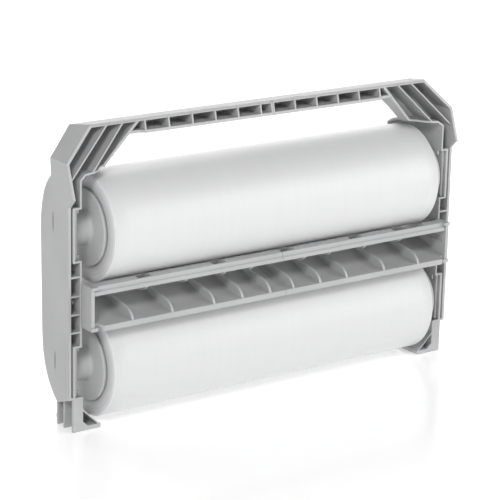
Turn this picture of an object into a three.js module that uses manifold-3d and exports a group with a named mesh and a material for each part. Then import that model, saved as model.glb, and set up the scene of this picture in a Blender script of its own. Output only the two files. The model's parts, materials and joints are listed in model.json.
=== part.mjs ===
// Twin-roll film cartridge: two moulded side frames that share a carry handle,
// two rolls of film one above the other, and a ribbed document guide between them.
// Millimetres. X runs along the rolls, -Y is the feed side, +Z is up.
// The origin is on the floor, midway along the rolls and below their axes.

import * as THREE from 'three';
import { mergeVertices } from 'three/addons/utils/BufferGeometryUtils.js';
import Module from 'manifold-3d';

const wasm = await Module();
wasm.setup();

// ---------------------------------------------------------------- driving sizes

const GAP = 0.3;                  // clearance kept between separate pieces
const FINE_ROUND = 80;            // sides of a turned piece, by how much of it shows
const ROUND = 40;
const SMALL_ROUND = 16;
const LEFT = -1;
const RIGHT = 1;

const ROLL_R = 41.9;              // full roll of film
const ROLL_HALF = 152.5;          // half of the 305 mm film width
const AXIS_Z = { upper: 150.9, lower: 45.1 };
const CORE_OUT_R = 21.6;
const CORE_IN_R = 19.1;

const FLANGE_R = 29.8;            // hub disc that covers the end of the core
const FLANGE_T = 2.6;
const BOSS_R = 13.2;
const PLUG_LENGTH = 25;
const CUP_R = 15.9;               // outside of the cup that the boss turns in
const DRUM_R = 28;                // brake drum on the right-hand hubs
const DRUM_X = [162.8, 165.4];

const FRONT_Y = -22.7;            // front plane of the side frames
const TOP_Z = 231;
const END_X = 181.5;              // outer face of a side frame
const SHELL_T = 2.3;              // outer wall and top wall
const WALL_T = 1.5;               // inner walls
const RIB_T = 1.4;
const CORNER_RIB_T = 1.1;
const WEB_T = 1.8;                // back web behind the open cells
const CORNER = 24.4;              // 45 degree corner of the frame
const INNER_X = 170.85;           // middle of the inner wall
const RECESS_X = 176.6;           // middle of the wall behind a bearing
const RECESS_T = 2;
const RECESS_LOW = -18.7;         // recess below and above the roll's axis
const RECESS_HIGH = 21.7;

const HANDLE_LOW = 219.8;         // underside of the handle
const HANDLE_T = 2.2;             // wall under the handle and round the hand opening
const HANDLE_SEAM = 5.5;          // the side frames meet here, right of the middle
const HANDLE_RIBS = [5.7, 26.8, 47.7, 68.5, 89.5, 110.4];
const CHANNEL_RIBS = [78.1, 92.0, 106.1, 120.7];

const FOOT_X = [169.1, 177.6];
const FOOT_TOP = 27;
const TOE_X = 153.8;
const TOE_T = 3.2;
const FOOT_DEPTH = 24;
const TOE_DEPTH = 35.7;           // the toe's sole runs on behind the cross plates

const GUIDE_SEAM = 3.5;
const GUIDE_END = 167;
const GUIDE_BACK = 17;
const SLOT_LOW = 97.2;            // the document runs between these two heights
const SLOT_HIGH = 102.6;
const UPPER_LIP = { y: -35.2, low: 108.3, high: 115.2 };
const LOWER_LIP = { y: -40.3, low: 82, high: 86.4 };
const LOWER_RIBS = [11.1, 37.3, 63.5, 101.3, 136.5];
const UPPER_RIBS = [25.2, 50.5, 85, 121];
const GUIDE_RIB_T = 2.2;
const PADS = [                    // raised stretches behind the upper lip, left to right
  [-166.5, -127.5],
  [-115.5, -60],
  [-48.5, 4],
  [16.5, 71.5],
  [84, 116.5],
  [148, 166.5],
];

const SCREW = { r: 1.5, headR: 2.8, headT: 2, y: [-12, 8], z: 99 };

// ---------------------------------------------------------------- materials

const GREY = new THREE.MeshStandardMaterial({ color: 0xb9babb, roughness: 0.45, metalness: 0 });
const HUB_GREY = new THREE.MeshStandardMaterial({ color: 0xb0b1b2, roughness: 0.5, metalness: 0 });
const FILM = new THREE.MeshStandardMaterial({ color: 0xf1f1f1, roughness: 0.25, metalness: 0 });
const CARD = new THREE.MeshStandardMaterial({ color: 0xb9a587, roughness: 0.9, metalness: 0 });
const FELT = new THREE.MeshStandardMaterial({ color: 0x6d6d6d, roughness: 1, metalness: 0 });
const STEEL = new THREE.MeshStandardMaterial({ color: 0xb5b8bb, roughness: 0.3, metalness: 1 });

// ---------------------------------------------------------------- solid helpers

// Closed three.js geometry to a manifold solid.
function solid(geometry) {
  const bare = geometry.clone();
  bare.deleteAttribute('normal');
  bare.deleteAttribute('uv');
  const merged = mergeVertices(bare, 1e-5);
  return new wasm.Manifold(new wasm.Mesh({
    numProp: 3,
    vertProperties: new Float32Array(merged.attributes.position.array),
    triVerts: new Uint32Array(merged.index.array),
  }));
}

function geometryOf(manifold) {
  const mesh = manifold.getMesh();
  const geometry = new THREE.BufferGeometry();
  geometry.setAttribute('position', new THREE.BufferAttribute(mesh.vertProperties, 3));
  geometry.setIndex(new THREE.BufferAttribute(mesh.triVerts, 1));
  geometry.computeVertexNormals();
  return geometry;
}

function join(solids) {
  return solids.reduce((whole, piece) => whole.add(piece));
}

function shapeOf(points) {
  return new THREE.Shape(points.map(([a, b]) => new THREE.Vector2(a, b)));
}

// Outline drawn in X and Z, extruded along Y.
function prismXZ(outline, yFront, yBack, side = RIGHT) {
  const shape = shapeOf(outline.map(([x, z]) => [x * side, z]));
  const geometry = new THREE.ExtrudeGeometry(shape, { depth: yBack - yFront, bevelEnabled: false });
  geometry.rotateX(Math.PI / 2);
  geometry.translate(0, yBack, 0);
  return solid(geometry);
}

// Outline drawn in Y and Z, extruded along X between two distances from the middle.
function prismYZ(outline, xIn, xOut, side = RIGHT) {
  const low = Math.min(xIn * side, xOut * side);
  const geometry = new THREE.ExtrudeGeometry(shapeOf(outline), {
    depth: Math.abs(xOut - xIn), bevelEnabled: false,
  });
  const axes = new THREE.Matrix4().makeBasis(
    new THREE.Vector3(0, 1, 0), new THREE.Vector3(0, 0, 1), new THREE.Vector3(1, 0, 0));
  geometry.applyMatrix4(axes);
  geometry.translate(low, 0, 0);
  return solid(geometry);
}

// Outline drawn in X and Y, extruded upwards.
function prismXY(outline, zLow, zHigh, side = RIGHT) {
  const shape = shapeOf(outline.map(([x, y]) => [x * side, y]));
  const geometry = new THREE.ExtrudeGeometry(shape, { depth: zHigh - zLow, bevelEnabled: false });
  geometry.translate(0, 0, zLow);
  return solid(geometry);
}

function block([x0, x1], [y0, y1], [z0, z1], side = RIGHT) {
  return prismXZ([[x0, z0], [x1, z0], [x1, z1], [x0, z1]], y0, y1, side);
}

// Closed profile of [radius, x] points turned about an axis along X.
function turned(profile, axisY, axisZ, side = RIGHT, segments = ROUND) {
  const points = profile.map(([r, x]) => new THREE.Vector2(r, x * side));
  points.push(points[0].clone());
  if (THREE.ShapeUtils.area(points) < 0) {
    points.reverse();
  }
  const geometry = new THREE.LatheGeometry(points, segments);
  geometry.rotateZ(-Math.PI / 2);
  geometry.translate(0, axisY, axisZ);
  return solid(geometry);
}

function ring(rIn, rOut, x0, x1, axisZ, side, segments = ROUND) {
  return turned([[rOut, x0], [rOut, x1], [rIn, x1], [rIn, x0]], 0, axisZ, side, segments);
}

// Round bar along X: its profile starts and ends on the axis.
function bar(r, x0, x1, axisY, axisZ, side, segments = SMALL_ROUND) {
  const ends = [x0 * side, x1 * side].sort((a, b) => a - b);
  const points = [[0, ends[0]], [r, ends[0]], [r, ends[1]], [0, ends[1]]];
  const geometry = new THREE.LatheGeometry(
    points.map(([radius, x]) => new THREE.Vector2(radius, x)), segments);
  geometry.rotateZ(-Math.PI / 2);
  geometry.translate(0, axisY, axisZ);
  return solid(geometry);
}

// A wall of even thickness along a line of points, mitred at each bend.
function strip(line, thickness) {
  const offset = (sign) => line.map(([x, z], i) => {
    const before = line[Math.max(i - 1, 0)];
    const after = line[Math.min(i + 1, line.length - 1)];
    const inward = new THREE.Vector2(x - before[0], z - before[1]);
    const outward = new THREE.Vector2(after[0] - x, after[1] - z);
    const first = inward.lengthSq() > 0 ? inward.normalize() : outward.clone().normalize();
    const second = outward.lengthSq() > 0 ? outward.normalize() : first.clone();
    const bisector = first.clone().add(second).normalize();
    const reach = (sign * thickness / 2) / bisector.dot(first);
    return [x - bisector.y * reach, z + bisector.x * reach];
  });
  return [...offset(1), ...offset(-1).reverse()];
}

function curvePoints(curve, steps) {
  return curve.getPoints(steps).map((p) => [p.x, p.y]);
}

function bend(from, control, to, steps = 8) {
  return curvePoints(new THREE.QuadraticBezierCurve(
    new THREE.Vector2(...from), new THREE.Vector2(...control), new THREE.Vector2(...to)), steps);
}

// ---------------------------------------------------------------- side frames

// Side view of a frame, in Y and Z: a slanted top that carries the handle, a nose
// below it on the feed side, and a full, rounded back behind the rolls.
function sideOutline(front, shiftY = 0, shiftZ = 0) {
  const outline = [
    [FRONT_Y, 26],
    ...front,
    [10.2, 227.3],
    [2.9, 207.9],
    [1.9, 193.6],
    ...bend([2.6, 192.8], [16.2, 181], [16.9, 152]),
    ...bend([15.5, 70.6], [15.6, 36.5], [-6.1, 20.2]),
  ];
  return outline.map(([y, z]) => [y + shiftY, z + shiftZ]);
}

// The shell's front edge has the nose. The walls inside it run straight up instead.
const SHELL_FRONT = [[FRONT_Y, 174], [-29.5, 181], [-20.5, 206], [-12.4, TOP_Z]];
const INNER_FRONT = [[FRONT_Y, 193], [-13.1, TOP_Z - 1]];

// Where a frame stops at the middle of the handle, as a distance to its own side.
function handleStart(side) {
  return side === RIGHT ? HANDLE_SEAM + GAP / 2 : -HANDLE_SEAM + GAP / 2;
}

const CELL_CEILING = TOP_Z - SHELL_T;
const ROOF_OUTER = [166.2, 196.7];   // roof between the cells and the upper roll
const ROOF_INNER = [144.4, 198.5];
const GRIP_EDGE = [[115.2, CELL_CEILING + 1], ROOF_INNER];
const TAIL_GUSSET_Y = 12;
const TAIL_SKIRT_Z = 183.5;

// Plan view of the front edge of the roof and of the hand opening's slanted edge, and
// of the last of the handle's underside, which runs back to meet it.
const ROOF_FRONT = [
  [166.5, FRONT_Y],
  [160.3, FRONT_Y],
  ...bend([160, -21.7], [155, -20.6], [152, -16.4], 4),
  ...bend([152, -16.4], [149.4, -12.4], [144.4, -11.2], 4).slice(1),
  [114, -12.7],
  [109.7, -15.9],
  [109.7, -60],
];

// Where the slanted edge of the hand opening meets the underside of the handle.
function gripCorner() {
  const [[topX, topZ], [endX, endZ]] = GRIP_EDGE;
  return topX + (endX - topX) * (topZ - HANDLE_LOW) / (topZ - endZ);
}

// Point of the roof's line at a distance from the middle.
function roofAt(x) {
  const along = (x - ROOF_OUTER[0]) / (ROOF_INNER[0] - ROOF_OUTER[0]);
  return [x, ROOF_OUTER[1] + along * (ROOF_INNER[1] - ROOF_OUTER[1])];
}

function innerWallLine() {
  const recess = (axisZ) => [
    [INNER_X, axisZ + RECESS_LOW],
    [RECESS_X, axisZ + RECESS_LOW],
    [RECESS_X, axisZ + RECESS_HIGH],
    [INNER_X, axisZ + RECESS_HIGH],
  ];
  return [
    ...recess(AXIS_Z.lower).slice(1),
    ...recess(AXIS_Z.upper),
    [INNER_X, 193],
    ROOF_OUTER,
    roofAt(159),
  ];
}

// Front silhouette of a side frame, without the openings of its cells.
function silhouette(start) {
  return [
    [start, HANDLE_LOW],
    [gripCorner(), HANDLE_LOW],
    ROOF_INNER,
    ROOF_OUTER,
    [INNER_X, 193],
    [INNER_X, 15],
    [END_X, 15],
    [END_X, TOP_Z - CORNER],
    [END_X - CORNER, TOP_Z],
    [start, TOP_Z],
  ];
}

// Top wall, 45 degree corner and outer wall in one.
function shell(side) {
  const start = handleStart(side);
  const innerCorner = SHELL_T * (Math.SQRT2 - 1);
  return prismXZ([
    [start, TOP_Z],
    [END_X - CORNER, TOP_Z],
    [END_X, TOP_Z - CORNER],
    [END_X, 15],
    [END_X - SHELL_T, 15],
    [END_X - SHELL_T, TOP_Z - CORNER - innerCorner],
    [END_X - CORNER - innerCorner, CELL_CEILING],
    [start, CELL_CEILING],
  ], -60, 60, side);
}

function innerWalls(side) {
  const start = handleStart(side);
  const outlines = [
    // corner ribs, parallel to the 45 degree corner
    strip([[142.6, CELL_CEILING + 1], [178.9, 193.4]], CORNER_RIB_T),
    strip([[128.9, CELL_CEILING + 1], roofAt(160.2)], CORNER_RIB_T),
    // inner wall, stepped around the bearings
    strip(innerWallLine(), WALL_T),
  ];
  for (const axisZ of Object.values(AXIS_Z)) {
    const ends = [axisZ + RECESS_LOW, axisZ + RECESS_HIGH];
    outlines.push(strip(ends.map((z) => [RECESS_X, z]), RECESS_T));
  }
  for (const z of CHANNEL_RIBS) {
    outlines.push(strip([[INNER_X, z], [END_X - 1, z]], RIB_T));
  }
  for (const x of HANDLE_RIBS) {
    outlines.push(strip([[x, HANDLE_LOW + 1], [x, CELL_CEILING + 1]], RIB_T));
  }
  // the half that reaches past the middle closes its end with one more rib
  const endRib = start + RIB_T / 2;
  outlines.push(strip([[endRib, HANDLE_LOW + 1], [endRib, CELL_CEILING + 1]], RIB_T));
  return join(outlines.map((outline) => prismXZ(outline, -60, 60, side)));
}

// Underside of the handle, slanted edge of the hand opening, and roof over the roll.
function gripWalls(side) {
  const start = handleStart(side);
  const lowZ = HANDLE_LOW + HANDLE_T / 2;
  const walls = [
    strip([[start, lowZ], [gripCorner(), lowZ]], HANDLE_T),
    strip(GRIP_EDGE, HANDLE_T),
    strip([ROOF_INNER, ROOF_OUTER], WALL_T),
  ].map((outline) => prismXZ(outline, -60, 60, side));
  const behind = [...ROOF_FRONT, [start, -60], [start, 60], [166.5, 60]];
  return join(walls).intersect(prismXY(behind, 190, TOP_Z, side));
}

// Feet: three cross plates, a side plate that ties them, and a toe under the roll.
function foot(side) {
  const crossPlates = [[0, 2.2], [12.4, 14.4], [22, FOOT_DEPTH]];
  const lPlate = [
    [FOOT_X[0], 7.4],
    [FOOT_X[0] - 4.2, TOE_T],
    [TOE_X, TOE_T],
    [TOE_X + 0.6, 0],
    [FOOT_X[1], 0],
    [FOOT_X[1], FOOT_TOP],
    [FOOT_X[0], FOOT_TOP],
  ];
  const plates = crossPlates.map(([y0, y1], index) => {
    const plate = [[FOOT_X[0], 0], [FOOT_X[1], 0], [FOOT_X[1], FOOT_TOP], [FOOT_X[0], FOOT_TOP]];
    return prismXZ(index === 0 ? lPlate : plate, FRONT_Y + y0, FRONT_Y + y1, side);
  });
  const sidePlate = prismYZ([
    [FRONT_Y, 0],
    [FRONT_Y + TOE_DEPTH, 0],
    [FRONT_Y + TOE_DEPTH, TOE_T],
    [FRONT_Y + FOOT_DEPTH, TOE_T + 1.5],
    [FRONT_Y + FOOT_DEPTH, FOOT_TOP],
    [FRONT_Y, FOOT_TOP],
  ], FOOT_X[0], FOOT_X[0] + 2, side);
  const toe = block([TOE_X + 0.6, FOOT_X[0] + 1], [FRONT_Y, FRONT_Y + TOE_DEPTH], [0, TOE_T], side);
  // the toe is braced by a slanted wall and is open to the front below it
  const brace = prismXZ(strip([[TOE_X + 1.2, TOE_T - 0.6], [FOOT_X[0] + 0.6, 17]], 1),
    FRONT_Y, FRONT_Y + FOOT_DEPTH, side);
  return join([...plates, sidePlate, toe, brace]);
}

// Shallow finger marks in the outer face, pointed at both ends.
function fingerMark(y, z, height, side) {
  const half = height / 2;
  const lens = [
    ...bend([y, z - half], [y + 2.6, z], [y, z + half]),
    ...bend([y, z + half], [y - 1.4, z], [y, z - half]).slice(1, -1),
  ];
  return prismYZ(lens, END_X - 1.4, END_X + 1, side);
}

function sideFrame(side) {
  const start = handleStart(side);
  const shifted = (front, y, z) => prismYZ(sideOutline(front, y, z), start - 5, END_X + 5, side);
  const outer = prismYZ(sideOutline(SHELL_FRONT), start, END_X, side);
  const inner = prismYZ(sideOutline(INNER_FRONT), start, END_X, side);
  const inside = innerWalls(side).add(gripWalls(side)).intersect(inner);
  const walls = shell(side).intersect(outer).add(inside);
  const area = prismXZ(silhouette(start), -60, 60, side);
  const backWeb = inner.subtract(shifted(INNER_FRONT, -WEB_T, 0));
  const floorWeb = inner.subtract(shifted(INNER_FRONT, 0, WEB_T));
  const lowZone = block([INNER_X, END_X], [-60, 60], [0, 60], side);
  const webs = backWeb.intersect(area).add(floorWeb.intersect(lowZone).intersect(area));
  let frame = join([walls, webs, foot(side), roofTail(side)]);
  for (const axisZ of Object.values(AXIS_Z)) {
    const zone = [axisZ + RECESS_LOW + WALL_T / 2, axisZ + RECESS_HIGH - WALL_T / 2];
    frame = frame.subtract(block([INNER_X - 2, RECESS_X - RECESS_T / 2], [-60, 60], zone, side));
    frame = frame.add(recessCheek(axisZ, side));
  }
  for (const y of SCREW.y) {
    const hole = bar(SCREW.r + GAP, INNER_X - 3, INNER_X + 3, y, SCREW.z, side);
    frame = frame.subtract(hole);
  }
  frame = frame.subtract(fingerMark(-1.1, 159, 17, side));
  return frame.subtract(fingerMark(-3.1, 52, 17, side));
}

// Thin tail of the roof that turns down behind the upper roll and narrows as it goes.
// A skirt hangs from its back edge, and a gusset joins both to the inner wall.
function roofTail(side) {
  const [innerX, topZ] = ROOF_INNER;
  const line = [
    [-6.5, topZ - 1],
    [3.5, 197.3],
    ...bend([8.5, 196], [17, 193.6], [24.5, 188.9], 4),
  ];
  const plan = [
    [innerX, -10],
    [innerX, 3],
    [151, 25],
    [158, 25],
    [165, 19],
    [INNER_X, TAIL_GUSSET_Y],
    [INNER_X, -10],
  ];
  const tail = prismYZ(strip(line, WALL_T), innerX, INNER_X, side);
  const hanging = prismXY(strip([
    [151, 23.6],
    [157.5, 23.6],
    [164.5, 18],
    [INNER_X, TAIL_GUSSET_Y - 0.5],
  ], WALL_T), TAIL_SKIRT_Z, TOP_Z, side);
  const below = prismYZ([
    ...line,
    [24.5, 187],
    [22, 187],
    [19, TAIL_SKIRT_Z],
    [-6.5, TAIL_SKIRT_Z],
  ], innerX, INNER_X + WALL_T / 2, side);
  const gusset = prismYZ([
    [-2, 196.5],
    [3.5, 197.3],
    [8.5, 196],
    [TAIL_GUSSET_Y, 195],
    [TAIL_GUSSET_Y, 178],
    [0, 188],
  ], INNER_X - WALL_T / 2, INNER_X + WALL_T / 2, side);
  return tail.intersect(prismXY(plan, 180, TOP_Z, side)).add(hanging.intersect(below)).add(gusset);
}

// The inner wall goes on across a recess, set back a little, with a C-shaped
// window that the hub's boss slides into from the feed side.
function recessCheek(axisZ, side) {
  const zone = [axisZ + RECESS_LOW, axisZ + RECESS_HIGH];
  const wall = [INNER_X - WALL_T / 2, INNER_X + WALL_T / 2];
  const cut = [INNER_X - 3, INNER_X + 3];
  const cheek = block(wall, [-18.4, 12], zone, side);
  const window = bar(BOSS_R + 1.6, ...cut, 0, axisZ, side, ROUND);
  const mouth = block(cut, [-30, 0], [axisZ - 14.5, axisZ + 17], side);
  return cheek.subtract(window).subtract(mouth);
}

// ---------------------------------------------------------------- document guide

function upperGuide(side) {
  const { y, low, high } = UPPER_LIP;
  const start = side === RIGHT ? GUIDE_SEAM + GAP / 2 : -GUIDE_SEAM + GAP / 2;
  const section = [
    [y, low],
    [y + 2, low],
    ...bend([-26, 109.6], [-14, 104.8], [0, 104.8]),
    [GUIDE_BACK, 104.8],
    [GUIDE_BACK, 106.6],
    ...bend([0, 106.6], [-12, 106.8], [-26, 112]),
    [y + 3, high - 0.6],
    [y + 3, high],
    [y + 1, high],
    [y + 1, 111.8],
    [y + 0.5, 111.8],
    [y + 0.5, 111.3],
    [y, 111.3],
  ];
  const rib = [
    [y + 0.7, low + 0.4],
    ...bend([y + 1, low - 0.6], [-31.5, 104], [-24, 103.5], 5),
    [-14, SLOT_HIGH],
    [GUIDE_BACK, SLOT_HIGH],
    [GUIDE_BACK, 105.6],
    [-2, 105.6],
    [-25, 110.6],
    [y + 1.6, low + 1.5],
  ];
  const pad = [
    [y + 2.8, high - 2],
    [y + 2.8, high + 0.2],
    [-27, high + 0.5],
    [-21, 112.4],
    [-17.5, 109.8],
    [-18, 108.2],
  ];
  const pieces = [prismYZ(section, start, GUIDE_END, side)];
  for (const x of UPPER_RIBS) {
    pieces.push(prismYZ(rib, x - GUIDE_RIB_T / 2, x + GUIDE_RIB_T / 2, side));
  }
  for (const [west, east] of PADS) {
    const from = Math.max(start, Math.min(west * side, east * side));
    const to = Math.max(west * side, east * side);
    if (to - from > 1) {
      pieces.push(prismYZ(pad, from, to, side));
    }
  }
  return join(pieces);
}

function lowerGuide(side) {
  const { y, low, high } = LOWER_LIP;
  const start = side === RIGHT ? GUIDE_SEAM + GAP / 2 : -GUIDE_SEAM + GAP / 2;
  const section = [
    [y, low],
    [y + 2, low],
    [y + 2.4, high - 1.8],
    ...bend([-30, 85.8], [-14, 88.4], [-4, 93.2]),
    [GUIDE_BACK, 93.2],
    [GUIDE_BACK, 95],
    ...bend([-4, 95], [-14, 90.4], [-30, 87.6]),
    [y, high],
  ];
  const rib = [
    [y + 1, high - 1],
    ...bend([y + 0.4, high], [-38, 93.8], [-27, 95.4], 7),
    ...bend([-22, 96.2], [-14, 97], [-6, SLOT_LOW], 4),
    [GUIDE_BACK, SLOT_LOW],
    [GUIDE_BACK, 94],
    [-4, 94],
    [-30, 86.6],
  ];
  const pieces = [prismYZ(section, start, GUIDE_END, side)];
  for (const x of LOWER_RIBS) {
    pieces.push(prismYZ(rib, x - GUIDE_RIB_T / 2, x + GUIDE_RIB_T / 2, side));
  }
  return join(pieces).subtract(cornerCut(side));
}

// The lip's outer end is cut back to clear the bracket's foot.
function cornerCut(side) {
  const cut = [
    [GUIDE_END + 1, LOWER_LIP.y - 1],
    [GUIDE_END - 6, LOWER_LIP.y - 1],
    [GUIDE_END - 2.6, -34.4],
    [GUIDE_END + 1, -34.4],
  ];
  return prismXY(cut, 70, 90, side);
}

// Post in front of the frame with a hook at each end, and the plate behind it that
// the screws hold. Two ridges on the plate keep the edge of a sheet in the slot.
function guideBracket(side) {
  const inner = GUIDE_END + GAP;
  const post = block([inner, 170.2], [UPPER_LIP.y - 1, FRONT_Y - GAP], [81.6, 115.4], side);
  const plate = block([inner, INNER_X - WALL_T / 2 - GAP], [FRONT_Y - 1, 14], [84, 113], side);
  const hooks = [[81.6, 84.4], [113.2, 115.4]].map((z) => (
    block([inner - 2.6, 170.5], [UPPER_LIP.y - 2, UPPER_LIP.y - 0.4], z, side)));
  const ridges = [[98.4, 99.3], [100.8, 101.7]].map((z) => (
    block([inner - 1, inner + 0.5], [-33, -5], z, side)));
  let bracket = join([post, plate, ...hooks, ...ridges]);
  for (const y of SCREW.y) {
    bracket = bracket.subtract(bar(SCREW.r + GAP, 168, 172, y, SCREW.z, side));
  }
  return bracket;
}

function bracketScrew(y, side) {
  const seat = INNER_X + WALL_T / 2 + GAP;
  const shank = bar(SCREW.r, 168.4, seat + 1, y, SCREW.z, side);
  return shank.add(bar(SCREW.headR, seat, seat + SCREW.headT, y, SCREW.z, side));
}

// ---------------------------------------------------------------- rolls and bearings

const PLATE_X = [173.1, RECESS_X - RECESS_T / 2 - GAP];
const BOSS_END = { [LEFT]: 174.5, [RIGHT]: 171.4 };

// Snap-in cup: a plate behind the recess lips and a ring that opens to the front.
function bearingCup(axisZ, side) {
  const clearance = WALL_T / 2 + GAP;
  const heights = [axisZ + RECESS_LOW + clearance, axisZ + RECESS_HIGH - clearance];
  const plate = block(PLATE_X, [-20.5, 14], heights, side);
  const cup = ring(BOSS_R + GAP, CUP_R, 171.9, PLATE_X[0] + 0.5, axisZ, side);
  const mouth = block([160, 173], [-30, -4], [axisZ - 11.6, axisZ + 11.6], side);
  const pocket = bar(BOSS_R + GAP, 172, PLATE_X[1] - 0.5, 0, axisZ, side, ROUND);
  return plate.add(cup.subtract(mouth)).subtract(pocket);
}

function hub(axisZ, side) {
  const faceX = ROLL_HALF + GAP;
  const end = BOSS_END[side];
  const plug = ring(15.5, CORE_IN_R - GAP, ROLL_HALF - PLUG_LENGTH, faceX + 1, axisZ, side);
  const flange = turned([
    [0.01, faceX],
    [FLANGE_R, faceX],
    [FLANGE_R, faceX + FLANGE_T - 0.8],
    [FLANGE_R - 0.8, faceX + FLANGE_T],
    [0.01, faceX + FLANGE_T],
  ], 0, axisZ, side, ROUND);
  const boss = bar(BOSS_R, faceX, end, 0, axisZ, side, ROUND);
  const hollow = bar(9, ROLL_HALF - PLUG_LENGTH - 1, end - 3, 0, axisZ, side);
  return join([plug, flange, boss]).subtract(hollow);
}

function brakeDrum(axisZ) {
  return ring(BOSS_R + GAP, DRUM_R, DRUM_X[0], DRUM_X[1], axisZ, RIGHT);
}

function brakeWasher(axisZ) {
  const from = BOSS_END[RIGHT] + GAP;
  return ring(5, BOSS_R - 0.6, from, from + 1, axisZ, RIGHT);
}

// Conical spring washer that presses the felt against the end of the boss.
function brakeSpring(axisZ) {
  const from = BOSS_END[RIGHT] + 2 * GAP + 1;
  const profile = [[5.5, from], [11, from + 0.9], [11, from + 1.5], [5.5, from + 0.6]];
  return turned(profile, 0, axisZ, RIGHT);
}

// ---------------------------------------------------------------- assembly

const cartridge = new THREE.Group();

function place(name, manifold, material) {
  const mesh = new THREE.Mesh(geometryOf(manifold), material);
  mesh.name = name;
  cartridge.add(mesh);
}

for (const [word, side] of [['left', LEFT], ['right', RIGHT]]) {
  place(`${word}_side_frame`, sideFrame(side), GREY);
  place(`${word}_upper_guide`, upperGuide(side), GREY);
  place(`${word}_lower_guide`, lowerGuide(side), GREY);
  place(`${word}_guide_bracket`, guideBracket(side), GREY);
  place(`${word}_bracket_screw_front`, bracketScrew(SCREW.y[0], side), STEEL);
  place(`${word}_bracket_screw_back`, bracketScrew(SCREW.y[1], side), STEEL);
  for (const [level, axisZ] of Object.entries(AXIS_Z)) {
    place(`${level}_${word}_bearing_cup`, bearingCup(axisZ, side), GREY);
    place(`${level}_${word}_hub`, hub(axisZ, side), HUB_GREY);
  }
}

for (const [level, axisZ] of Object.entries(AXIS_Z)) {
  place(`${level}_film_roll`,
    ring(CORE_OUT_R + GAP, ROLL_R, -ROLL_HALF, ROLL_HALF, axisZ, RIGHT, FINE_ROUND), FILM);
  place(`${level}_core`,
    ring(CORE_IN_R, CORE_OUT_R, -ROLL_HALF, ROLL_HALF, axisZ, RIGHT), CARD);
  place(`${level}_brake_drum`, brakeDrum(axisZ), HUB_GREY);
  place(`${level}_brake_washer`, brakeWasher(axisZ), FELT);
  place(`${level}_brake_spring`, brakeSpring(axisZ), STEEL);
}

export default cartridge;
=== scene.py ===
# Looks for the twin-roll film cartridge: satin grey mouldings, two rolls of glossy film,
# a white floor and soft studio light. Metres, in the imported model's frame.

import json
import math

import bmesh
import bpy
from mathutils import Matrix, Vector

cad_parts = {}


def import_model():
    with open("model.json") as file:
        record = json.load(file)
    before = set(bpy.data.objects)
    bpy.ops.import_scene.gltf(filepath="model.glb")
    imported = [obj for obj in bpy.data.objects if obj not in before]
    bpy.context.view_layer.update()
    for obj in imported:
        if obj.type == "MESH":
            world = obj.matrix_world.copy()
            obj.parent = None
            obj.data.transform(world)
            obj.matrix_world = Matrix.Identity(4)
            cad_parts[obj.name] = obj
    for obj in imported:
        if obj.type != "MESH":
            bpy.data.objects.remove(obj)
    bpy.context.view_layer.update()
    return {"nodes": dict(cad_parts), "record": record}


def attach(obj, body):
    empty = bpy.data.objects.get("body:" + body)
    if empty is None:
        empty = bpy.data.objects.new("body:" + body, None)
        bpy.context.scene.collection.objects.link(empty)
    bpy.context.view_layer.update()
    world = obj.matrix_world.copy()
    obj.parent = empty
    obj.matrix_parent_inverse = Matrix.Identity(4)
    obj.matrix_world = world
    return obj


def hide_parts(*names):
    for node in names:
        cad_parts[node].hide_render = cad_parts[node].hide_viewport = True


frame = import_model()

# ---------------------------------------------------------------- sizes

ROLL_R = 0.0419
ROLL_HALF = 0.1525
CORE_R = 0.0219
HUB_X = 0.1528                  # inner face of a hub's flange
FLANGE_R = 0.0298
FLANGE_T = 0.0026
BOSS_R = 0.0132
BOSS_END = {"left": 0.1745, "right": 0.1714}
PLUG_R = 0.0188
PLUG_HALF = 0.1275              # inner end of a hub's plug
PLUG_BORE_R = 0.0155
RIM_R = 0.001                   # rounding of a flange's rim
FILLET_R = 0.0032               # blend between flange and boss
NOSE_R = 0.0012                 # rounding of a boss's end
CORNER_R = 0.0004               # rounding of a roll's edges
FILM_WAVE = 0.00004             # how far the film's surface rises and falls
EDGE_STEP = 0.00006             # how far one band of film edges stands back from the next
END_BANDS = [0.0392, 0.0365, 0.0341, 0.0318, 0.0302, 0.0262]
AXIS_Z = {"upper": 0.1509, "lower": 0.0451}
SMOOTH_BELOW = math.radians(26)  # bends gentler than this are shaded smooth
LIGHT_AIM = (0, 0, 0.1)

# ---------------------------------------------------------------- node helpers


def new_material(name):
    material = bpy.data.materials.new(name)
    material.use_nodes = True
    return material, material.node_tree, material.node_tree.nodes["Principled BSDF"]


def texture(tree, kind, **values):
    node = tree.nodes.new(f"ShaderNodeTex{kind}")
    for key, value in values.items():
        node.inputs[key].default_value = value
    return node


def placed(tree, scale=(1, 1, 1)):
    """Coordinates in metres on the mesh, stretched by scale."""
    coordinates = tree.nodes.new("ShaderNodeTexCoord")
    mapping = tree.nodes.new("ShaderNodeMapping")
    mapping.inputs["Scale"].default_value = scale
    tree.links.new(coordinates.outputs["Object"], mapping.inputs["Vector"])
    return mapping.outputs["Vector"]


def ramp(tree, source, stops):
    node = tree.nodes.new("ShaderNodeValToRGB")
    elements = node.color_ramp.elements
    while len(elements) < len(stops):
        elements.new(0.5)
    for element, (place, colour) in zip(elements, stops):
        element.position = place
        element.color = (*colour, 1) if len(colour) == 3 else (colour[0],) * 3 + (1,)
    tree.links.new(source, node.inputs["Fac"])
    return node.outputs["Color"]


def span(tree, source, low, high):
    node = tree.nodes.new("ShaderNodeMapRange")
    node.inputs["To Min"].default_value = low
    node.inputs["To Max"].default_value = high
    tree.links.new(source, node.inputs["Value"])
    return node.outputs["Result"]


def bump(tree, height, strength, distance, under=None):
    node = tree.nodes.new("ShaderNodeBump")
    node.inputs["Strength"].default_value = strength
    node.inputs["Distance"].default_value = distance
    tree.links.new(height, node.inputs["Height"])
    if under is not None:
        tree.links.new(under, node.inputs["Normal"])
    return node.outputs["Normal"]


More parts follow.
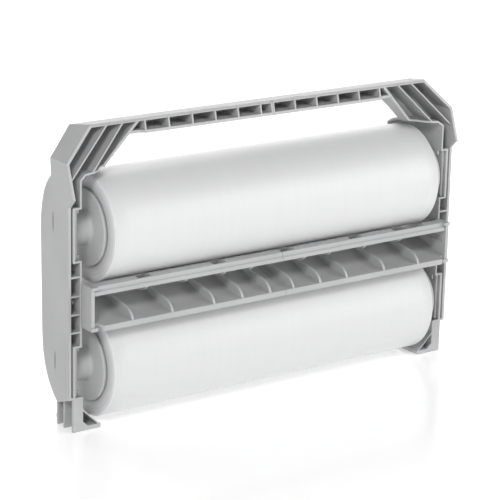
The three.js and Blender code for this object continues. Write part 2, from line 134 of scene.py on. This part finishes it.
# ---------------------------------------------------------------- materials


def moulded_plastic(name, dark, light, rough=(0.36, 0.5), grain=0.00005):
    """Satin moulding: faint cloudy tone, fine spark-eroded grain, soft flow streaks."""
    material, tree, shader = new_material(name)
    where = placed(tree)
    cloud = texture(tree, "Noise", Scale=22.0, Detail=3.0, Roughness=0.55)
    fine = texture(tree, "Noise", Scale=2600.0, Detail=2.0, Roughness=0.6)
    streaks = texture(tree, "Noise", Scale=1.0, Detail=4.0, Roughness=0.6)
    for node in (cloud, fine):
        tree.links.new(where, node.inputs["Vector"])
    tree.links.new(placed(tree, (260, 260, 28)), streaks.inputs["Vector"])
    tree.links.new(
        ramp(tree, cloud.outputs["Fac"], [(0.3, dark), (0.7, light)]), shader.inputs["Base Color"])
    tree.links.new(span(tree, streaks.outputs["Fac"], *rough), shader.inputs["Roughness"])
    rounded_edges = tree.nodes.new("ShaderNodeBevel")
    rounded_edges.samples = 6
    rounded_edges.inputs["Radius"].default_value = 0.0005
    grained = bump(tree, fine.outputs["Fac"], 0.35, grain, rounded_edges.outputs["Normal"])
    tree.links.new(
        bump(tree, streaks.outputs["Fac"], 0.12, 0.00012, grained), shader.inputs["Normal"])
    shader.inputs["IOR"].default_value = 1.52
    shader.inputs["Specular IOR Level"].default_value = 0.42
    return material


def wound_film(name):
    """Clear film wound tight: white from its depth, glossy, with faint bands round the roll."""
    material, tree, shader = new_material(name)
    bands = texture(tree, "Noise", Scale=1.0, Detail=3.0, Roughness=0.5)
    tree.links.new(placed(tree, (210, 5, 5)), bands.inputs["Vector"])
    ripple = texture(tree, "Noise", Scale=1.0, Detail=2.0, Roughness=0.5)
    tree.links.new(placed(tree, (5, 75, 75)), ripple.inputs["Vector"])
    colour = ramp(tree, bands.outputs["Fac"],
                  [(0.3, (0.64, 0.642, 0.646)), (0.7, (0.652, 0.654, 0.657))])
    tree.links.new(colour, shader.inputs["Base Color"])
    tree.links.new(span(tree, ripple.outputs["Fac"], 0.38, 0.46), shader.inputs["Roughness"])
    soft = bump(tree, ripple.outputs["Fac"], 0.14, 0.0004)
    tree.links.new(bump(tree, bands.outputs["Fac"], 0.02, 0.00003, soft), shader.inputs["Normal"])
    shader.inputs["Subsurface Weight"].default_value = 0.12
    shader.inputs["Subsurface Radius"].default_value = (0.006, 0.006, 0.0065)
    shader.inputs["Subsurface Scale"].default_value = 1.0
    shader.inputs["IOR"].default_value = 1.5
    shader.inputs["Specular IOR Level"].default_value = 0.5
    shader.inputs["Coat Weight"].default_value = 0.04
    shader.inputs["Coat Roughness"].default_value = 0.25
    return material


def film_edge(name):
    """End of a roll: the edges of many turns, darker and more see-through than the side, with
    painted shade that darkens them further towards the hub's flange.
    """
    material, tree, shader = new_material(name)
    where = placed(tree, (0, 1, 1))
    rings = texture(tree, "Wave", Scale=700.0, Distortion=1.2, Detail=2.0)
    rings.wave_type = "RINGS"
    rings.rings_direction = "X"
    rings.inputs["Detail Scale"].default_value = 0.6
    coarse = texture(tree, "Wave", Scale=95.0, Distortion=2.0, Detail=2.0)
    coarse.wave_type = "RINGS"
    coarse.rings_direction = "X"
    coarse.inputs["Detail Scale"].default_value = 0.5
    distance = tree.nodes.new("ShaderNodeVectorMath")
    distance.operation = "LENGTH"
    tree.links.new(where, distance.inputs[0])
    for node in (rings, coarse):
        tree.links.new(where, node.inputs["Vector"])
    radius = tree.nodes.new("ShaderNodeMapRange")
    radius.inputs["From Min"].default_value = FLANGE_R
    radius.inputs["From Max"].default_value = ROLL_R
    tree.links.new(distance.outputs["Value"], radius.inputs["Value"])
    # painted shade: the roll's end darkens from its rim in towards the hub's flange, where flange
    # and frame shade it
    depth = ramp(tree, radius.outputs["Result"],
                 [(0.0, (0.42, 0.422, 0.428)), (0.22, (0.6, 0.603, 0.61)),
                  (0.8, (0.76, 0.763, 0.77)), (1.0, (0.87, 0.873, 0.878))])
    tinted = tree.nodes.new("ShaderNodeMix")
    tinted.data_type = "RGBA"
    tinted.blend_type = "MULTIPLY"
    tinted.inputs["Factor"].default_value = 1.0
    tree.links.new(depth, tinted.inputs["A"])
    tree.links.new(ramp(tree, coarse.outputs["Fac"], [(0.0, (0.93,)), (1.0, (1.0,))]),
                   tinted.inputs["B"])
    tree.links.new(tinted.outputs["Result"], shader.inputs["Base Color"])
    tree.links.new(span(tree, coarse.outputs["Fac"], 0.34, 0.48), shader.inputs["Roughness"])
    tree.links.new(bump(tree, rings.outputs["Fac"], 0.25, 0.00006), shader.inputs["Normal"])
    shader.inputs["Subsurface Weight"].default_value = 0.3
    shader.inputs["Subsurface Radius"].default_value = (0.006, 0.006, 0.0065)
    shader.inputs["Subsurface Scale"].default_value = 1.0
    return material


def tube_plastic(name):
    material, tree, shader = new_material(name)
    lines = texture(tree, "Noise", Scale=1.0, Detail=3.0, Roughness=0.6)
    tree.links.new(placed(tree, (30, 500, 500)), lines.inputs["Vector"])
    tree.links.new(ramp(tree, lines.outputs["Fac"],
                        [(0.3, (0.66, 0.655, 0.64)), (0.7, (0.76, 0.755, 0.74))]),
                   shader.inputs["Base Color"])
    tree.links.new(span(tree, lines.outputs["Fac"], 0.45, 0.6), shader.inputs["Roughness"])
    tree.links.new(bump(tree, lines.outputs["Fac"], 0.3, 0.0001), shader.inputs["Normal"])
    return material


def felt(name):
    material, tree, shader = new_material(name)
    fibres = texture(tree, "Noise", Scale=1400.0, Detail=5.0, Roughness=0.8)
    tree.links.new(placed(tree), fibres.inputs["Vector"])
    tree.links.new(ramp(tree, fibres.outputs["Fac"],
                        [(0.3, (0.07, 0.07, 0.07)), (0.7, (0.17, 0.17, 0.165))]),
                   shader.inputs["Base Color"])
    tree.links.new(bump(tree, fibres.outputs["Fac"], 0.9, 0.0003), shader.inputs["Normal"])
    shader.inputs["Roughness"].default_value = 0.95
    shader.inputs["Sheen Weight"].default_value = 0.3
    return material


def plated_steel(name):
    material, tree, shader = new_material(name)
    brushed = texture(tree, "Noise", Scale=1.0, Detail=3.0, Roughness=0.6)
    tree.links.new(placed(tree, (150, 2400, 2400)), brushed.inputs["Vector"])
    tree.links.new(ramp(tree, brushed.outputs["Fac"],
                        [(0.3, (0.5, 0.51, 0.52)), (0.7, (0.66, 0.665, 0.67))]),
                   shader.inputs["Base Color"])
    tree.links.new(span(tree, brushed.outputs["Fac"], 0.22, 0.4), shader.inputs["Roughness"])
    tree.links.new(bump(tree, brushed.outputs["Fac"], 0.3, 0.00003), shader.inputs["Normal"])
    shader.inputs["Metallic"].default_value = 1.0
    return material


materials = {
    "frame_grey": moulded_plastic("frame_moulding", (0.4, 0.402, 0.406), (0.44, 0.442, 0.446)),
    # painted light: the hub moulding is made lighter than the frame moulding to make up for light
    # the frame walls keep off the hubs
    "hub_grey": moulded_plastic("hub_moulding", (0.455, 0.457, 0.461), (0.495, 0.497, 0.501)),
    "film": wound_film("wound_film"),
    "core_plastic": tube_plastic("core_tube"),
    "felt": felt("pressed_felt"),
    "steel": plated_steel("plated_steel"),
}
roll_end = film_edge("film_edges")

# ---------------------------------------------------------------- carried-over mouldings


def smooth_group():
    """Joins the faces of a node and shades its gentle bends smooth, its corners sharp."""
    group = bpy.data.node_groups.new("smooth_bends", "GeometryNodeTree")
    group.interface.new_socket("Geometry", in_out="INPUT", socket_type="NodeSocketGeometry")
    group.interface.new_socket("Geometry", in_out="OUTPUT", socket_type="NodeSocketGeometry")
    start = group.nodes.new("NodeGroupInput")
    end = group.nodes.new("NodeGroupOutput")
    plain = group.nodes.new("GeometryNodeRemoveAttribute")
    plain.inputs["Name"].default_value = "custom_normal"
    merge = group.nodes.new("GeometryNodeMergeByDistance")
    merge.inputs["Distance"].default_value = 0.000002
    smooth = group.nodes.new("GeometryNodeSetShadeSmooth")
    smooth.domain = "FACE"
    corner = group.nodes.new("GeometryNodeInputMeshEdgeAngle")
    steep = group.nodes.new("FunctionNodeCompare")
    steep.data_type = "FLOAT"
    steep.operation = "GREATER_THAN"
    steep.inputs["B"].default_value = SMOOTH_BELOW
    crease = group.nodes.new("GeometryNodeSetShadeSmooth")
    crease.domain = "EDGE"
    crease.inputs["Shade Smooth"].default_value = False
    links = group.links
    links.new(start.outputs["Geometry"], plain.inputs["Geometry"])
    links.new(plain.outputs["Geometry"], merge.inputs["Geometry"])
    links.new(merge.outputs["Geometry"], smooth.inputs["Geometry"])
    links.new(smooth.outputs["Geometry"], crease.inputs["Geometry"])
    links.new(corner.outputs["Unsigned Angle"], steep.inputs["A"])
    links.new(steep.outputs["Result"], crease.inputs["Selection"])
    links.new(crease.outputs["Geometry"], end.inputs["Geometry"])
    return group


smooth_bends = smooth_group()
for subpart in frame["record"]["subparts"]:
    node = frame["nodes"][subpart["node"]]
    node.data.materials.clear()
    node.data.materials.append(materials[subpart["material_slot"]])
    node.modifiers.new("smooth_bends", "NODES").node_group = smooth_bends

# ---------------------------------------------------------------- turned pieces


def turned(name, profile, sides, sections):
    """Ring of faces round the X axis from a closed profile of (x, radius) points.
    sections gives the material number for each stretch of the profile."""
    mesh = bmesh.new()
    rings = []
    for x, radius in profile:
        ring = []
        for step in range(sides):
            angle = 2 * math.pi * step / sides
            ring.append(mesh.verts.new((x, radius * math.cos(angle), radius * math.sin(angle))))
        rings.append(ring)
    for index, ring in enumerate(rings):
        following = rings[(index + 1) % len(rings)]
        for step in range(sides):
            after = (step + 1) % sides
            face = mesh.faces.new((ring[step], ring[after], following[after], following[step]))
            face.material_index = sections[index]
            face.smooth = True
    bmesh.ops.recalc_face_normals(mesh, faces=mesh.faces)
    data = bpy.data.meshes.new(name)
    mesh.to_mesh(data)
    mesh.free()
    piece = bpy.data.objects.new(name, data)
    bpy.context.scene.collection.objects.link(piece)
    return piece


def film_roll(level):
    """A roll whose ends step in a little where the turns don't quite line up."""
    profile = [(-ROLL_HALF, ROLL_R - CORNER_R), (-ROLL_HALF + CORNER_R, ROLL_R)]
    sections = [0]
    lengthways = 24
    for step in range(1, lengthways):
        x = -ROLL_HALF + 2 * ROLL_HALF * step / lengthways
        profile.append((x, ROLL_R - FILM_WAVE * (1 + math.sin(37 * step))))
        sections.append(0)
    profile += [(ROLL_HALF - CORNER_R, ROLL_R), (ROLL_HALF, ROLL_R - CORNER_R)]
    sections += [0, 0]
    for index, r in enumerate(END_BANDS):
        profile.append((ROLL_HALF - EDGE_STEP * ((index * 3) % 4), r))
        sections.append(1)
    profile += [(ROLL_HALF, CORE_R), (-ROLL_HALF, CORE_R)]
    sections += [1, 1]
    for index, r in enumerate(reversed(END_BANDS)):
        profile.append((-ROLL_HALF + EDGE_STEP * ((index * 5) % 4), r))
        sections.append(1)
    sections.append(1)
    piece = turned(f"{level}_wound_film", profile, 160, sections)
    piece.data.materials.append(materials["film"])
    piece.data.materials.append(roll_end)
    piece.location.z = AXIS_Z[level]
    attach(piece, f"{level}_roll")
    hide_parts(f"{level}_film_roll")


def hub(level, word):
    """Flange with a rounded rim, a boss blended into it, and a hollow plug in the core."""
    sign = -1 if word == "left" else 1
    end = BOSS_END[word]
    face = HUB_X + FLANGE_T
    outline = [(PLUG_HALF, PLUG_BORE_R), (PLUG_HALF, PLUG_R), (HUB_X, PLUG_R), (HUB_X, FLANGE_R)]
    for step in range(6):
        angle = math.pi / 2 * step / 5
        outline.append((face - RIM_R + RIM_R * math.sin(angle),
                        FLANGE_R - RIM_R + RIM_R * math.cos(angle)))
    for step in range(7):
        angle = math.pi / 2 * step / 6
        outline.append((face + FILLET_R - FILLET_R * math.cos(angle),
                        BOSS_R + FILLET_R - FILLET_R * math.sin(angle)))
    for step in range(5):
        angle = math.pi / 2 * step / 4
        outline.append((end - NOSE_R + NOSE_R * math.sin(angle),
                        BOSS_R - NOSE_R + NOSE_R * math.cos(angle)))
    # dimple in the boss's end, then the hollow behind it
    outline += [(end, 0.0022), (end - 0.0009, 0.0012), (end - 0.0009, 0.00002),
                (end - 0.003, 0.00002), (end - 0.003, 0.009), (HUB_X, 0.0095)]
    outline = [(sign * x, r) for x, r in outline]
    piece = turned(f"{level}_{word}_hub_moulding", outline, 96, [0] * len(outline))
    piece.data.materials.append(materials["hub_grey"])
    piece.location.z = AXIS_Z[level]
    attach(piece, f"{level}_roll")
    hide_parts(f"{level}_{word}_hub")


for level in ("upper", "lower"):
    film_roll(level)
    for word in ("left", "right"):
        hub(level, word)

# ---------------------------------------------------------------- floor, light and camera


def floor():
    data = bpy.data.meshes.new("floor")
    reach = 6.0
    data.from_pydata([(-reach, -reach, 0), (reach, -reach, 0), (reach, reach, 0),
                      (-reach, reach, 0)], [], [(0, 1, 2, 3)])
    piece = bpy.data.objects.new("floor", data)
    bpy.context.scene.collection.objects.link(piece)
    piece.location.z = -0.0002
    material, tree, shader = new_material("white_floor")
    mottle = texture(tree, "Noise", Scale=3.0, Detail=2.0)
    tree.links.new(placed(tree), mottle.inputs["Vector"])
    tree.links.new(ramp(tree, mottle.outputs["Fac"], [(0.0, (0.93,)), (1.0, (0.95,))]),
                   shader.inputs["Base Color"])
    shader.inputs["Roughness"].default_value = 0.12
    shader.inputs["Specular IOR Level"].default_value = 0.35
    shader.inputs["Emission Color"].default_value = (1, 1, 1, 1)
    shader.inputs["Emission Strength"].default_value = 0.3
    data.materials.append(material)


def backdrop():
    """Low pale wall round the floor, which closes the horizon in level views."""
    radius = 5.8
    height = 1.5
    segments = 96
    points = []
    for step in range(segments):
        angle = 2 * math.pi * step / segments
        x, y = radius * math.cos(angle), radius * math.sin(angle)
        points += [(x, y, -0.01), (x, y, height)]
    faces = []
    for step in range(segments):
        here, after = 2 * step, 2 * ((step + 1) % segments)
        faces.append((here, here + 1, after + 1, after))
    data = bpy.data.meshes.new("backdrop")
    data.from_pydata(points, [], faces)
    piece = bpy.data.objects.new("backdrop", data)
    bpy.context.scene.collection.objects.link(piece)
    material, tree, shader = new_material("white_backdrop")
    mottle = texture(tree, "Noise", Scale=0.6, Detail=2.0)
    tree.links.new(placed(tree), mottle.inputs["Vector"])
    tree.links.new(ramp(tree, mottle.outputs["Fac"], [(0.0, (0.78,)), (1.0, (0.82,))]),
                   shader.inputs["Base Color"])
    shader.inputs["Roughness"].default_value = 0.9
    shader.inputs["Emission Color"].default_value = (1, 1, 1, 1)
    shader.inputs["Emission Strength"].default_value = 0.68
    data.materials.append(material)


def area_light(name, place, aim, size, power):
    data = bpy.data.lights.new(name, "AREA")
    data.shape = "RECTANGLE"
    data.size, data.size_y = size
    data.energy = power
    lamp = bpy.data.objects.new(name, data)
    lamp.location = place
    lamp.rotation_mode = "QUATERNION"
    lamp.rotation_quaternion = (Vector(aim) - Vector(place)).to_track_quat("-Z", "Y")
    bpy.context.scene.collection.objects.link(lamp)


def world(strength):
    made = bpy.data.worlds.new("studio")
    made.use_nodes = True
    background = made.node_tree.nodes["Background"]
    background.inputs["Color"].default_value = (1, 1, 1, 1)
    background.inputs["Strength"].default_value = strength
    bpy.context.scene.world = made


def camera():
    data = bpy.data.cameras.new("view")
    data.sensor_width = 36
    data.lens = 154.94
    data.clip_start = 0.01
    placed_camera = bpy.data.objects.new("view", data)
    right = (0.81441, -0.57989, 0.02157)
    up = (0.14872, 0.24450, 0.95818)
    ahead = (0.56092, 0.77713, -0.28537)
    at = (-0.9487, -1.31045, 0.59052)
    placed_camera.matrix_world = Matrix(
        [[right[i], up[i], -ahead[i], at[i]] for i in range(3)] + [[0, 0, 0, 1]])
    bpy.context.scene.collection.objects.link(placed_camera)
    bpy.context.scene.camera = placed_camera


floor()
backdrop()
world(0.17)
area_light("key", (-1.6, -1.3, 1.5), LIGHT_AIM, (0.55, 0.55), 24)
area_light("fill", (1.55, -1.65, 0.85), LIGHT_AIM, (1.0, 1.5), 25)
area_light("top_back", (0.3, 1.4, 1.8), LIGHT_AIM, (1.8, 1.0), 19)
area_light("back", (1.3, 1.9, 0.75), LIGHT_AIM, (2.0, 0.8), 11)
area_light("low", (-0.9, -1.9, 0.42), LIGHT_AIM, (1.4, 0.4), 3)
camera()
bpy.context.scene.view_settings.view_transform = "Standard"
